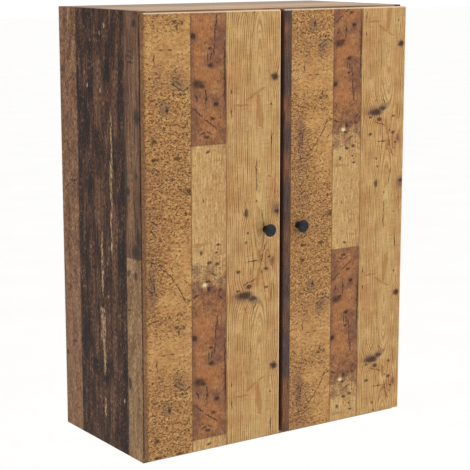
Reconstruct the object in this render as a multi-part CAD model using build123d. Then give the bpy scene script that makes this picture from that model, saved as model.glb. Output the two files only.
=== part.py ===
"""Hanging wall cabinet with two hinged doors, in millimetres.

The wall plane is Y = 0, the doors face -Y, +X is to the right and +Z is up.
The origin is the middle of the two wall-screw holes, on the wall plane.
Heights in this file count from the underside of the carcass until the parts are written.
"""

from build123d import *
from math import atan2, degrees
import os

# Overall sizes
CABINET_WIDTH = 650.0
CABINET_HEIGHT = 900.0
SIDE_DEPTH = 324.0

# Boards
BOARD = 16.0
BACK_BOARD = 3.0
GROOVE_DEPTH = 7.0
GROOVE_CLEARANCE = 0.1
GROOVE_END_GAP = 0.5
RAIL_HEIGHT = 80.0
SHELF_HEIGHTS = {"lower_shelf": 300.0, "upper_shelf": 590.0}
SHELF_SETBACK = 22.0
SHELF_END_GAP = 1.0
SHELF_BACK_GAP = 1.0

# Doors
DOOR_THICKNESS = 18.0
DOOR_GAP = 3.0
DOOR_BOTTOM_MARGIN = 9.0
DOOR_TOP_MARGIN = 3.0
DOOR_MEETING_GAP = 9.0
DOOR_EDGE_ROUND = 3.0
DOOR_CORNER_ROUND = 3.1

# Knobs
KNOB_FROM_MEETING_EDGE = 37.0
KNOB_HEIGHT = 453.0
KNOB_RADIUS = 13.0
KNOB_NECK_RADIUS = 6.5
KNOB_FOOT_FLARE = 1.0
KNOB_FOOT_HEIGHT = 4.0
KNOB_PROJECTION = 23.0
KNOB_HEAD_HEIGHT = 9.0
KNOB_BACK_BEVEL = 2.5
KNOB_UNDERCUT = 3.0
KNOB_FACE_BEVEL = 3.5
KNOB_SCREW_RADIUS = 2.0
KNOB_SCREW_HEAD_RADIUS = 4.5
KNOB_SCREW_HEAD_HEIGHT = 2.4
KNOB_SCREW_ENGAGEMENT = 12.0

# Wall fixing
WALL_HOLE_SPACING = 450.0
WALL_HOLE_RADIUS = 3.25

# Shelf supports
SHELF_PIN_RADIUS = 2.5
SHELF_PIN_DEPTH = 8.0
SHELF_PIN_REACH = 8.0
SHELF_PIN_COLLAR = 3.6
SHELF_PIN_COLLAR_THICKNESS = 0.8
SHELF_PIN_INSET = 40.0
SHELF_PIN_STEP = 32.0
SHELF_PIN_STEPS = (-1, 0, 1)

# Cam fittings and dowels
CAM_RADIUS = 7.5
CAM_TOP_WALL = 0.5
CAM_CAP_THICKNESS = 1.0
CAM_FROM_END = 24.0
CAM_BORE_RADIUS = 4.0
CAM_BOLT_THREAD_RADIUS = 3.5
CAM_BOLT_THREAD_LENGTH = 11.0
CAM_BOLT_SHANK_RADIUS = 2.5
CAM_BOLT_HEAD_RADIUS = 3.5
CAM_BOLT_HEAD_LENGTH = 4.0
CAM_INSETS = (55.0, 75.0)
DOWEL_RADIUS = 4.0
DOWEL_LENGTH = 30.0
DOWEL_SIDE_DEPTH = 11.0
DOWEL_FROM_CAM = 32.0
DOWEL_END_GAP = 1.0
BORE_CLEARANCE = 0.1
SCREW_END_GAP = 1.0

# Cup hinges: plan positions are (inward from the outer side, back from the side's front edge)
HINGE_FROM_DOOR_END = 100.0
ARM_PIVOT = (BOARD + 11.0, 4.0)
CUP_EDGE_DISTANCE = 5.0
CUP_RADIUS = 17.5
CUP_WALL = 1.3
CUP_DEPTH = 11.6
CUP_PIVOT = (10.0, -DOOR_GAP - 4.5)
LINK_KNEES = ((15.6, -DOOR_GAP - 8.2), (24.5, -DOOR_GAP - 1.5))
LINK_HALF_WIDTH = 1.7
LINK_EYE_RADIUS = 2.8
LINK_HALF_HEIGHT = 6.0
LINK_CHEEK = 1.4
LINK_EYE_CLEARANCE = 0.8
PIN_RADIUS = 1.5
PIN_CLEARANCE = 0.05
ARM_CHEEK = 1.5
ARM_SIDE_CLEARANCE = 0.5
ARM_RIDGE_CLEARANCE = 0.2
ARM_FOOT_CLEARANCE = 1.0
ARM_NOSE_RADIUS = 4.0
ARM_NOSE_SLOT = 9.0
ARM_BRIDGE = 6.0
ARM_LENGTH = 62.0
ARM_START = 8.0
ARM_WEB = 1.5
ARM_TOP = BOARD + 13.0
CUP_FLANGE = 1.2
CUP_SLOT_CLEARANCE = 0.6
CUP_PIN_SEAT = 2.4
CUP_SCREW_OFFSET = 9.5
CUP_SCREW_SPACING = 45.0
CUP_EAR_WIDTH = 12.0
CUP_SCREW_HEAD_HEIGHT = 1.2
PLATE_SETBACK = 37.0
PLATE_THICKNESS = 2.0
PLATE_SCREW_SPACING = 32.0
PLATE_WING_WIDTH = 14.0
PLATE_WING_OVERHANG = 7.0
PLATE_RIDGE_LENGTH = 46.0
STAMPED_FLAT = 0.5
PLATE_SCREW_RADIUS = 2.0
PLATE_SCREW_LENGTH = 11.0
PLATE_HEAD_RADIUS = 4.0
PLATE_HEAD_HEIGHT = 2.0
ARM_SCREW_RADIUS = 2.0
ARM_SCREW_LENGTH = 8.0
ARM_SCREW_HEAD_RADIUS = 3.4
ARM_SCREW_HEAD_HEIGHT = 1.6
ARM_SCREW_POSITIONS = (24.0, 50.0)

# Door buffers
BUFFER_RADIUS = 3.2
BUFFER_CLEARANCE = 0.4
BUFFER_INSET = 24.0
BUFFER_FROM_DOOR_END = 4.4

# Derived planes and lengths
INNER_X = CABINET_WIDTH / 2 - BOARD
FRONT_Y = -SIDE_DEPTH
DOOR_BACK_Y = FRONT_Y - DOOR_GAP
DOOR_FRONT_Y = DOOR_BACK_Y - DOOR_THICKNESS
BACK_FRONT_Y = -BOARD - BACK_BOARD
DOOR_BOTTOM = DOOR_BOTTOM_MARGIN
DOOR_TOP = CABINET_HEIGHT - DOOR_TOP_MARGIN
KNOB_X = DOOR_MEETING_GAP / 2 + KNOB_FROM_MEETING_EDGE
WALL_HOLE_HEIGHT = CABINET_HEIGHT - BOARD - RAIL_HEIGHT / 2
HINGE_HEIGHTS = {"lower": DOOR_BOTTOM + HINGE_FROM_DOOR_END, "upper": DOOR_TOP - HINGE_FROM_DOOR_END}
CUP_CENTRE = (CUP_EDGE_DISTANCE + CUP_RADIUS, -DOOR_GAP)
CUP_SLOT_HALF_HEIGHT = LINK_HALF_HEIGHT + CUP_SLOT_CLEARANCE
CUP_PIN_HALF = CUP_SLOT_HALF_HEIGHT + CUP_PIN_SEAT
ARM_INNER_HALF = LINK_HALF_HEIGHT + ARM_SIDE_CLEARANCE
ARM_HALF_HEIGHT = ARM_INNER_HALF + ARM_CHEEK
CAM_HEIGHT = BOARD / 2 + CAM_BORE_RADIUS + CAM_TOP_WALL - CAM_CAP_THICKNESS
CAM_PLACES_Y = (FRONT_Y + CAM_INSETS[0], -CAM_INSETS[1])
DOWEL_PLACES_Y = (CAM_PLACES_Y[0] + DOWEL_FROM_CAM, CAM_PLACES_Y[1] - DOWEL_FROM_CAM)
RAIL_DOWEL_PLACES_Z = tuple(WALL_HOLE_HEIGHT + step * RAIL_HEIGHT / 4 for step in (-1, 1))
SHELF_PIN_PLACES_Y = (
    FRONT_Y + SHELF_SETBACK + SHELF_PIN_INSET,
    BACK_FRONT_Y - SHELF_BACK_GAP - SHELF_PIN_INSET,
)
SIDES = ("left", "right")


def block(x0, x1, y0, y1, z0, z1):
    """A box between two limits along each axis."""
    centre = ((x0 + x1) / 2, (y0 + y1) / 2, (z0 + z1) / 2)
    return Pos(*centre) * Box(abs(x1 - x0), abs(y1 - y0), abs(z1 - z0))


def rod_x(x0, x1, y, z, radius):
    """A cylinder along X."""
    return Pos((x0 + x1) / 2, y, z) * Rot(0, 90, 0) * Cylinder(radius, abs(x1 - x0))


def rod_y(x, y0, y1, z, radius):
    """A cylinder along Y."""
    return Pos(x, (y0 + y1) / 2, z) * Rot(90, 0, 0) * Cylinder(radius, abs(y1 - y0))


def rod_z(x, y, z0, z1, radius):
    """A cylinder along Z."""
    return Pos(x, y, (z0 + z1) / 2) * Cylinder(radius, abs(z1 - z0))


def bar_z(start, end, radius, half_height):
    """A round-ended bar between two plan points, centred on Z = 0."""
    span = Vector(*end) - Vector(*start)
    middle = (Vector(*end) + Vector(*start)) * 0.5
    turn = degrees(atan2(span.Y, span.X))
    outline = Rot(0, 0, turn) * SlotCenterToCenter(span.length, 2 * radius)
    return Pos(middle.X, middle.Y, -half_height) * extrude(outline, 2 * half_height)


def in_both_sides(shape):
    """A shape drawn on the right, with its mirror image on the left."""
    return [shape, mirror(shape, about=Plane.YZ)]


def cam_places():
    """Each corner joint: the underside of its horizontal board and the cam's depth place."""
    undersides = (0.0, CABINET_HEIGHT - BOARD)
    return [(underside, y) for underside in undersides for y in CAM_PLACES_Y]


def dowel_places():
    """The centre of each dowel, as (y, z)."""
    middles = (BOARD / 2, CABINET_HEIGHT - BOARD / 2)
    places = [(y, z) for z in middles for y in DOWEL_PLACES_Y]
    return places + [(-BOARD / 2, z) for z in RAIL_DOWEL_PLACES_Z]


def shelf_pin_places(shelf, steps):
    """The centres of one shelf's pin holes, as (y, z)."""
    level = SHELF_HEIGHTS[shelf] - SHELF_PIN_RADIUS
    return [(y, level + step * SHELF_PIN_STEP) for y in SHELF_PIN_PLACES_Y for step in steps]


def plate_screw_places():
    """The centres of the hinge plates' screws, as (y, z)."""
    offsets = (-PLATE_SCREW_SPACING / 2, PLATE_SCREW_SPACING / 2)
    return [(FRONT_Y + PLATE_SETBACK, z + offset) for z in HINGE_HEIGHTS.values() for offset in offsets]


def make_side_panel():
    """The right side panel, with every hole on its inner face."""
    panel = block(INNER_X, INNER_X + BOARD, FRONT_Y, 0, 0, CABINET_HEIGHT)
    groove_y = (BACK_FRONT_Y - GROOVE_CLEARANCE, -BOARD + GROOVE_CLEARANCE)
    groove_z = (BOARD - GROOVE_DEPTH, CABINET_HEIGHT - BOARD + GROOVE_DEPTH)
    panel -= block(INNER_X, INNER_X + GROOVE_DEPTH, *groove_y, *groove_z)
    for underside, y in cam_places():
        bolt_end = INNER_X + CAM_BOLT_THREAD_LENGTH + BORE_CLEARANCE
        bolt_radius = CAM_BOLT_THREAD_RADIUS + BORE_CLEARANCE
        panel -= rod_x(INNER_X, bolt_end, y, underside + BOARD / 2, bolt_radius)
    for y, z in dowel_places():
        dowel_end = INNER_X + DOWEL_SIDE_DEPTH + DOWEL_END_GAP / 2
        panel -= rod_x(INNER_X, dowel_end, y, z, DOWEL_RADIUS + BORE_CLEARANCE)
    for shelf in SHELF_HEIGHTS:
        pin_end = INNER_X + SHELF_PIN_DEPTH + BORE_CLEARANCE
        for y, z in shelf_pin_places(shelf, SHELF_PIN_STEPS):
            panel -= rod_x(INNER_X, pin_end, y, z, SHELF_PIN_RADIUS + BORE_CLEARANCE)
    for y, z in plate_screw_places():
        screw_end = INNER_X + PLATE_SCREW_LENGTH
        panel -= rod_x(INNER_X, screw_end, y, z, PLATE_SCREW_RADIUS + BORE_CLEARANCE)
    return panel


def make_end_board(underside):
    """The top or bottom board, between the sides, with cam pockets in its lower face."""
    board = block(-INNER_X, INNER_X, FRONT_Y, 0, underside, underside + BOARD)
    groove_y = (BACK_FRONT_Y - GROOVE_CLEARANCE, -BOARD + GROOVE_CLEARANCE)
    inside = underside + BOARD if underside == 0 else underside
    into = -GROOVE_DEPTH if underside == 0 else GROOVE_DEPTH
    board -= block(-INNER_X, INNER_X, *groove_y, inside, inside + into)
    pocket_height = CAM_CAP_THICKNESS + CAM_HEIGHT
    for y in CAM_PLACES_Y:
        cam_x = INNER_X - CAM_FROM_END
        pocket = rod_z(cam_x, y, underside, underside + pocket_height, CAM_RADIUS + BORE_CLEARANCE)
        channel = rod_x(cam_x, INNER_X, y, underside + BOARD / 2, CAM_BORE_RADIUS)
        board -= in_both_sides(pocket)
        board -= in_both_sides(channel)
    for y in DOWEL_PLACES_Y:
        board -= in_both_sides(dowel_bore(y, underside + BOARD / 2))
    return board


def dowel_bore(y, z):
    """The bore for a dowel in the right end of a horizontal board."""
    reach = DOWEL_LENGTH - DOWEL_SIDE_DEPTH + DOWEL_END_GAP / 2
    return rod_x(INNER_X - reach, INNER_X, y, z, DOWEL_RADIUS + BORE_CLEARANCE)


def make_fixing_rail():
    """The rail behind the back board that the wall screws pass through."""
    top = CABINET_HEIGHT - BOARD
    rail = block(-INNER_X, INNER_X, -BOARD, 0, top - RAIL_HEIGHT, top)
    for z in RAIL_DOWEL_PLACES_Z:
        rail -= in_both_sides(dowel_bore(-BOARD / 2, z))
    return rail - wall_holes()


def make_back_board():
    """The thin back board, let into grooves all round."""
    overlap = GROOVE_DEPTH - GROOVE_END_GAP
    half_width = INNER_X + overlap
    heights = (BOARD - overlap, CABINET_HEIGHT - BOARD + overlap)
    board = block(-half_width, half_width, BACK_FRONT_Y, -BOARD, *heights)
    return board - wall_holes()


def wall_holes():
    """The two holes for the wall screws."""
    hole = rod_y(WALL_HOLE_SPACING / 2, BACK_FRONT_Y, 0, WALL_HOLE_HEIGHT, WALL_HOLE_RADIUS)
    return in_both_sides(hole)


def make_shelf(height):
    """A loose shelf that lies on four pins."""
    half_width = INNER_X - SHELF_END_GAP
    depths = (FRONT_Y + SHELF_SETBACK, BACK_FRONT_Y - SHELF_BACK_GAP)
    return block(-half_width, half_width, *depths, height, height + BOARD)


def make_shelf_pins():
    """Four collared pins under each shelf."""
    pins = []
    for shelf in SHELF_HEIGHTS:
        for y, z in shelf_pin_places(shelf, (0,)):
            reach = INNER_X - SHELF_PIN_REACH
            pin = rod_x(reach, INNER_X + SHELF_PIN_DEPTH, y, z, SHELF_PIN_RADIUS)
            collar = rod_x(INNER_X - SHELF_PIN_COLLAR_THICKNESS, INNER_X, y, z, SHELF_PIN_COLLAR)
            shelf_edge = block(0, INNER_X, y - BOARD, y + BOARD, z + SHELF_PIN_RADIUS, z + BOARD)
            pins += in_both_sides(pin + (collar - shelf_edge))
    return Compound(pins)


def make_cam_locks():
    """Round cam housings, each with a bore that takes its bolt's head."""
    locks = []
    for underside, y in cam_places():
        cam_x = INNER_X - CAM_FROM_END
        base = underside + CAM_CAP_THICKNESS
        lock = rod_z(cam_x, y, base, base + CAM_HEIGHT, CAM_RADIUS)
        bore_end = cam_x - CAM_BOLT_HEAD_LENGTH
        lock -= rod_x(bore_end, INNER_X, y, underside + BOARD / 2, CAM_BORE_RADIUS)
        locks += in_both_sides(lock)
    return Compound(locks)


def make_cam_caps():
    """Thin caps, flush with the board, that close the cam pockets."""
    caps = []
    for underside, y in cam_places():
        cap = rod_z(INNER_X - CAM_FROM_END, y, underside, underside + CAM_CAP_THICKNESS, CAM_RADIUS)
        caps += in_both_sides(cap)
    return Compound(caps)


def make_cam_bolts():
    """Bolts screwed into the sides, with heads in the cams."""
    bolts = []
    for underside, y in cam_places():
        z = underside + BOARD / 2
        cam_x = INNER_X - CAM_FROM_END
        thread = rod_x(INNER_X, INNER_X + CAM_BOLT_THREAD_LENGTH, y, z, CAM_BOLT_THREAD_RADIUS)
        shank = rod_x(cam_x, INNER_X, y, z, CAM_BOLT_SHANK_RADIUS)
        half_head = CAM_BOLT_HEAD_LENGTH / 2
        head = rod_x(cam_x - half_head, cam_x + half_head, y, z, CAM_BOLT_HEAD_RADIUS)
        bolts += in_both_sides(thread + shank + head)
    return Compound(bolts)


def make_dowels():
    """Wooden dowels at the corner joints and the rail's ends."""
    dowels = []
    for y, z in dowel_places():
        outer = INNER_X + DOWEL_SIDE_DEPTH
        dowels += in_both_sides(rod_x(outer - DOWEL_LENGTH, outer, y, z, DOWEL_RADIUS))
    return Compound(dowels)


def cup_screw_places():
    """The right door's cup screws, as (x, z)."""
    x = CABINET_WIDTH / 2 - CUP_CENTRE[0] - CUP_SCREW_OFFSET
    offsets = (-CUP_SCREW_SPACING / 2, CUP_SCREW_SPACING / 2)
    return [(x, z + offset) for z in HINGE_HEIGHTS.values() for offset in offsets]


def make_door():
    """The right door, softly rounded at its front, with cup bores and screw holes."""
    widths = (DOOR_MEETING_GAP / 2, CABINET_WIDTH / 2)
    door = block(*widths, DOOR_FRONT_Y, DOOR_BACK_Y, DOOR_BOTTOM, DOOR_TOP)
    door = fillet(door.edges().filter_by(Axis.Y), DOOR_CORNER_ROUND)
    front = door.faces().sort_by(Axis.Y)[0]
    door = fillet(front.edges(), DOOR_EDGE_ROUND)
    for z in HINGE_HEIGHTS.values():
        cup_x = CABINET_WIDTH / 2 - CUP_CENTRE[0]
        bore_floor = DOOR_BACK_Y - CUP_DEPTH
        door -= rod_y(cup_x, bore_floor, DOOR_BACK_Y, z, CUP_RADIUS + BORE_CLEARANCE)
    for x, z in cup_screw_places():
        screw_end = DOOR_BACK_Y - PLATE_SCREW_LENGTH
        door -= rod_y(x, screw_end, DOOR_BACK_Y, z, PLATE_SCREW_RADIUS + BORE_CLEARANCE)
    knob_bore = KNOB_SCREW_RADIUS + BORE_CLEARANCE
    return door - rod_y(KNOB_X, DOOR_FRONT_Y, DOOR_BACK_Y, KNOB_HEIGHT, knob_bore)


def make_knob():
    """The right knob: a round mushroom with a bevelled face."""
    head_back = KNOB_PROJECTION - KNOB_HEAD_HEIGHT
    profile = Polyline(
        (KNOB_SCREW_RADIUS + BORE_CLEARANCE, 0),
        (KNOB_NECK_RADIUS + KNOB_FOOT_FLARE, 0),
        (KNOB_NECK_RADIUS, KNOB_FOOT_HEIGHT),
        (KNOB_NECK_RADIUS, head_back - KNOB_UNDERCUT),
        (KNOB_RADIUS - KNOB_BACK_BEVEL, head_back),
        (KNOB_RADIUS, head_back + KNOB_BACK_BEVEL),
        (KNOB_RADIUS, KNOB_PROJECTION - KNOB_FACE_BEVEL),
        (KNOB_RADIUS - KNOB_FACE_BEVEL, KNOB_PROJECTION),
        (0, KNOB_PROJECTION),
        (0, KNOB_SCREW_ENGAGEMENT),
        (KNOB_SCREW_RADIUS + BORE_CLEARANCE, KNOB_SCREW_ENGAGEMENT),
        close=True,
    )
    knob = revolve(Plane.XZ * make_face(profile), Axis.Z)
    return Pos(KNOB_X, DOOR_FRONT_Y, KNOB_HEIGHT) * Rot(90, 0, 0) * knob


def make_knob_screw():
    """The right knob's screw, driven from the back of the door."""
    tip = DOOR_FRONT_Y - KNOB_SCREW_ENGAGEMENT + SCREW_END_GAP
    shank = rod_y(KNOB_X, tip, DOOR_BACK_Y, KNOB_HEIGHT, KNOB_SCREW_RADIUS)
    head_end = DOOR_BACK_Y + KNOB_SCREW_HEAD_HEIGHT
    head = rod_y(KNOB_X, DOOR_BACK_Y, head_end, KNOB_HEIGHT, KNOB_SCREW_HEAD_RADIUS)
    return shank + head


def make_buffers():
    """The right door's soft buffers, which meet the top and bottom boards."""
    x = DOOR_MEETING_GAP / 2 + BUFFER_INSET
    thickness = DOOR_GAP - BUFFER_CLEARANCE
    heights = (DOOR_BOTTOM + BUFFER_FROM_DOOR_END, DOOR_TOP - BUFFER_FROM_DOOR_END)
    discs = [rod_y(x, DOOR_BACK_Y, DOOR_BACK_Y + thickness, z, BUFFER_RADIUS) for z in heights]
    return Compound(discs)


def make_cup_screws():
    """The flat-headed screws through the right door's hinge cups."""
    screws = []
    tip = DOOR_BACK_Y - PLATE_SCREW_LENGTH + SCREW_END_GAP
    face = DOOR_BACK_Y + CUP_FLANGE
    for x, z in cup_screw_places():
        shank = rod_y(x, tip, face, z, PLATE_SCREW_RADIUS)
        head = rod_y(x, face, face + CUP_SCREW_HEAD_HEIGHT, z, PLATE_HEAD_RADIUS)
        screws.append(shank + head)
    return Compound(screws)


def make_plate_screws():
    """The screws through the hinge mounting plates, in both sides."""
    screws = []
    tip = INNER_X + PLATE_SCREW_LENGTH - SCREW_END_GAP
    face = INNER_X - PLATE_THICKNESS
    for y, z in plate_screw_places():
        shank = rod_x(face, tip, y, z, PLATE_SCREW_RADIUS)
        head = rod_x(face - PLATE_HEAD_HEIGHT, face, y, z, PLATE_HEAD_RADIUS)
        screws += in_both_sides(shank + head)
    return Compound(screws)


def make_mounting_plate():
    """A hinge's base on the side panel: a winged plate with a raised ridge for the arm."""
    half_wing = PLATE_SCREW_SPACING / 2 + PLATE_WING_OVERHANG
    wing_y = (PLATE_SETBACK - PLATE_WING_WIDTH / 2, PLATE_SETBACK + PLATE_WING_WIDTH / 2)
    plate = block(BOARD, BOARD + PLATE_THICKNESS, *wing_y, -half_wing, half_wing)
    plate = fillet(plate.edges().filter_by(Axis.X), PLATE_WING_WIDTH / 2 - STAMPED_FLAT)
    ridge_start = ARM_START + ARM_LENGTH - PLATE_RIDGE_LENGTH
    ridge_half = ARM_INNER_HALF - ARM_RIDGE_CLEARANCE
    ridge_end = ridge_start + PLATE_RIDGE_LENGTH
    ridge_top = ARM_TOP - ARM_WEB
    plate += block(BOARD, ridge_top, ridge_start, ridge_end, -ridge_half, ridge_half)
    wing_top = BOARD + PLATE_THICKNESS
    for offset in (-PLATE_SCREW_SPACING / 2, PLATE_SCREW_SPACING / 2):
        hole_radius = PLATE_SCREW_RADIUS + BORE_CLEARANCE
        plate -= rod_x(BOARD, wing_top, PLATE_SETBACK, offset, hole_radius)
    for y in ARM_SCREW_POSITIONS:
        hole_end = ridge_top - ARM_SCREW_LENGTH
        plate -= rod_x(hole_end, ridge_top, y, 0, ARM_SCREW_RADIUS + BORE_CLEARANCE)
    return plate


def make_arm():
    """A hinge's arm: a channel over the plate's ridge, with a nose that holds the arm pin."""
    arm_end = ARM_START + ARM_LENGTH
    foot = BOARD + PLATE_THICKNESS + ARM_FOOT_CLEARANCE
    arm = block(foot, ARM_TOP, ARM_START, arm_end, -ARM_HALF_HEIGHT, ARM_HALF_HEIGHT)
    nose_end = (ARM_TOP - ARM_NOSE_RADIUS, ARM_START + ARM_NOSE_RADIUS)
    arm += bar_z(ARM_PIVOT, nose_end, ARM_NOSE_RADIUS, ARM_HALF_HEIGHT)
    inner_top = ARM_TOP - ARM_WEB
    web_start = ARM_START + ARM_BRIDGE
    arm -= block(foot, inner_top, web_start, arm_end, -ARM_INNER_HALF, ARM_INNER_HALF)
    nose_reach = (ARM_PIVOT[1] - ARM_NOSE_SLOT, web_start)
    arm -= block(0, ARM_PIVOT[0] + ARM_NOSE_SLOT, *nose_reach, -ARM_INNER_HALF, ARM_INNER_HALF)
    arm -= rod_z(*ARM_PIVOT, -ARM_HALF_HEIGHT, ARM_HALF_HEIGHT, PIN_RADIUS + PIN_CLEARANCE)
    for y in ARM_SCREW_POSITIONS:
        arm -= rod_x(inner_top, ARM_TOP, y, 0, ARM_SCREW_RADIUS + BORE_CLEARANCE)
    return arm


def make_link():
    """A hinge's bent link, with a round eye at each end and a bridge between its cheeks."""
    points = (CUP_PIVOT, *LINK_KNEES, ARM_PIVOT)
    link = bar_z(points[0], points[1], LINK_HALF_WIDTH, LINK_HALF_HEIGHT)
    for start, end in zip(points[1:-1], points[2:]):
        link += bar_z(start, end, LINK_HALF_WIDTH, LINK_HALF_HEIGHT)
    inner_half = LINK_HALF_HEIGHT - LINK_CHEEK
    for eye in (CUP_PIVOT, ARM_PIVOT):
        link += rod_z(*eye, -LINK_HALF_HEIGHT, LINK_HALF_HEIGHT, LINK_EYE_RADIUS)
        link -= rod_z(*eye, -inner_half, inner_half, LINK_EYE_RADIUS + LINK_EYE_CLEARANCE)
        link -= rod_z(*eye, -LINK_HALF_HEIGHT, LINK_HALF_HEIGHT, PIN_RADIUS + PIN_CLEARANCE)
    return link


def make_cup():
    """A hinge's cup: a round pot with a slot for the link, a floor, cheeks and two screw ears."""
    rim = -DOOR_GAP
    floor = rim - CUP_DEPTH
    centre = CUP_CENTRE[0]
    cup = rod_y(centre, floor, rim, 0, CUP_RADIUS)
    ear_x = centre + CUP_SCREW_OFFSET
    half_width = CUP_EAR_WIDTH / 2
    ear_end = CUP_SCREW_SPACING / 2 + half_width
    flange = (rim, rim + CUP_FLANGE)
    ears = block(ear_x - half_width, ear_x + half_width, *flange, -ear_end, ear_end)
    cup += fillet(ears.edges().filter_by(Axis.Y), half_width - STAMPED_FLAT)
    slot_x = (centre - CUP_RADIUS + CUP_WALL, centre + CUP_RADIUS - CUP_WALL)
    slot_half = CUP_SLOT_HALF_HEIGHT
    cup -= block(*slot_x, floor + CUP_WALL, rim + CUP_FLANGE, -slot_half, slot_half)
    cup -= rod_z(*CUP_PIVOT, -CUP_PIN_HALF, CUP_PIN_HALF, PIN_RADIUS + PIN_CLEARANCE)
    for z in (-CUP_SCREW_SPACING / 2, CUP_SCREW_SPACING / 2):
        cup -= rod_y(ear_x, *flange, z, PLATE_SCREW_RADIUS + BORE_CLEARANCE)
    return cup


def make_arm_screws():
    """The two screws that hold and adjust an arm on its plate."""
    screws = []
    tip = ARM_TOP - ARM_WEB - ARM_SCREW_LENGTH + SCREW_END_GAP
    for y in ARM_SCREW_POSITIONS:
        shank = rod_x(tip, ARM_TOP, y, 0, ARM_SCREW_RADIUS)
        head = rod_x(ARM_TOP, ARM_TOP + ARM_SCREW_HEAD_HEIGHT, y, 0, ARM_SCREW_HEAD_RADIUS)
        screws.append(shank + head)
    return screws


def at_hinge(shape, side, height):
    """A left-hand hinge piece in plan coordinates, put at one hinge place."""
    placed = Pos(-CABINET_WIDTH / 2, FRONT_Y, height) * shape
    return placed if side == "left" else mirror(placed, about=Plane.YZ)


def save(name, shape):
    """Write one named piece, with the origin moved to the wall-screw holes."""
    export_step(Pos(0, 0, -WALL_HOLE_HEIGHT) * shape, "parts/" + name + ".step")


def save_hinges():
    """The four hinges, piece by piece."""
    arm_pin = rod_z(*ARM_PIVOT, -ARM_HALF_HEIGHT, ARM_HALF_HEIGHT, PIN_RADIUS)
    cup_pin = rod_z(*CUP_PIVOT, -CUP_PIN_HALF, CUP_PIN_HALF, PIN_RADIUS)
    arm_screws = []
    arm_pins = []
    pieces = {
        "mounting_plate": make_mounting_plate(),
        "hinge_arm": make_arm(),
        "hinge_link": make_link(),
        "hinge_cup": make_cup(),
    }
    for side in SIDES:
        cup_pins = []
        for level, height in HINGE_HEIGHTS.items():
            for piece, shape in pieces.items():
                save(f"{side}_{level}_{piece}", at_hinge(shape, side, height))
            arm_pins.append(at_hinge(arm_pin, side, height))
            cup_pins.append(at_hinge(cup_pin, side, height))
            arm_screws += [at_hinge(screw, side, height) for screw in make_arm_screws()]
        save(f"{side}_cup_pins", Compound(cup_pins))
    save("arm_pins", Compound(arm_pins))
    save("arm_screws", Compound(arm_screws))


def save_carcass():
    """The fixed boards and what joins them."""
    save("right_side_panel", make_side_panel())
    save("left_side_panel", mirror(make_side_panel(), about=Plane.YZ))
    save("bottom_panel", make_end_board(0.0))
    save("top_panel", make_end_board(CABINET_HEIGHT - BOARD))
    save("back_panel", make_back_board())
    save("wall_fixing_rail", make_fixing_rail())
    for shelf, height in SHELF_HEIGHTS.items():
        save(shelf, make_shelf(height))
    save("shelf_pins", make_shelf_pins())
    save("cam_locks", make_cam_locks())
    save("cam_caps", make_cam_caps())
    save("cam_bolts", make_cam_bolts())
    save("dowels", make_dowels())
    save("mounting_plate_screws", make_plate_screws())


def save_doors():
    """Both doors with what is fixed to them."""
    pieces = {
        "door_panel": make_door(),
        "knob": make_knob(),
        "knob_screw": make_knob_screw(),
        "door_buffers": make_buffers(),
        "cup_screws": make_cup_screws(),
    }
    for piece, shape in pieces.items():
        save(f"right_{piece}", shape)
        save(f"left_{piece}", mirror(shape, about=Plane.YZ))


os.makedirs("parts", exist_ok=True)
save_carcass()
save_doors()
save_hinges()
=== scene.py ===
"""Looks for the hanging wall cabinet: printed old-wood boards, black knobs, steel hinges, studio light."""

import math

import bpy
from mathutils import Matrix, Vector


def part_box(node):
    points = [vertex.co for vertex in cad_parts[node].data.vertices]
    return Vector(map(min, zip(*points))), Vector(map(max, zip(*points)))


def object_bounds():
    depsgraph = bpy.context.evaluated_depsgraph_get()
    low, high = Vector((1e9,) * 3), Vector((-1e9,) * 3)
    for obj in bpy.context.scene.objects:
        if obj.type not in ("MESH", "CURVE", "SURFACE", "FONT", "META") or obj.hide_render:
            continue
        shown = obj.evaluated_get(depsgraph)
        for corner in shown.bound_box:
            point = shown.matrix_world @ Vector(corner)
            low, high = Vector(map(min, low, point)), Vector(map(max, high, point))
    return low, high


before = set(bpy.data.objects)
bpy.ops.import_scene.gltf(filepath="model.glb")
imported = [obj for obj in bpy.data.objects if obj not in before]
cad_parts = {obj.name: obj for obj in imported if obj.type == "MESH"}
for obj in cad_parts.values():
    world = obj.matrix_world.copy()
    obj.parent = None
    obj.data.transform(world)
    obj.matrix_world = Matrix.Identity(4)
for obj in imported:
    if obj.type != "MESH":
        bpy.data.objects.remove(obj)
CAD_LOW, CAD_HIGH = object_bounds()

# Places taken from the frame, in metres
DOOR_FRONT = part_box("left_door_panel")[0].y
SIDE_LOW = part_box("left_side_panel")[0]
LEFT_EDGE = SIDE_LOW.x
BOTTOM = SIDE_LOW.z

# Camera
CAMERA_PLACE = (-1.754, -2.755, 0.167)
CAMERA_TURN = 34.19
CAMERA_TILT = 10.92
CAMERA_LENS = 112.5
SENSOR_WIDTH = 36.0
FARTHEST_SEEN = 300.0

# Studio light: the surroundings, stronger overhead and weaker on two sides, and one soft key light
SURROUND = 1.04
OVERHEAD_EXTRA = 0.36
LEFT_DIMMING = 0.50
FRONT_DIMMING = 0.28
SURROUND_COLOUR = (1.0, 0.994, 0.982, 1.0)
KEY_POWER = 22.0
KEY_SIZE = 1.4
KEY_COLOUR = (1.0, 0.97, 0.93)
KEY_PLACE = (1.6, -2.4, 1.5)
KEY_AIM = (0.0, -0.3, -0.3)
FLOOR_SIZE = 90.0
FLOOR_DROP = 1.3

# The printed paper repeats along the grain; the right door carries it upside down and a little smaller
PRINT_REPEAT = 0.603
RIGHT_PRINT_SCALE = 0.902
RIGHT_PRINT_TOP = 0.964
RIGHT_PRINT_EDGE = 0.528
RIGHT_PRINT_PLACE = 0.185
PLANK_EDGES = {"dotted": -0.016, "middle": 0.1043, "pine": 0.187}
PLANK_CUT = 0.0335

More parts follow.
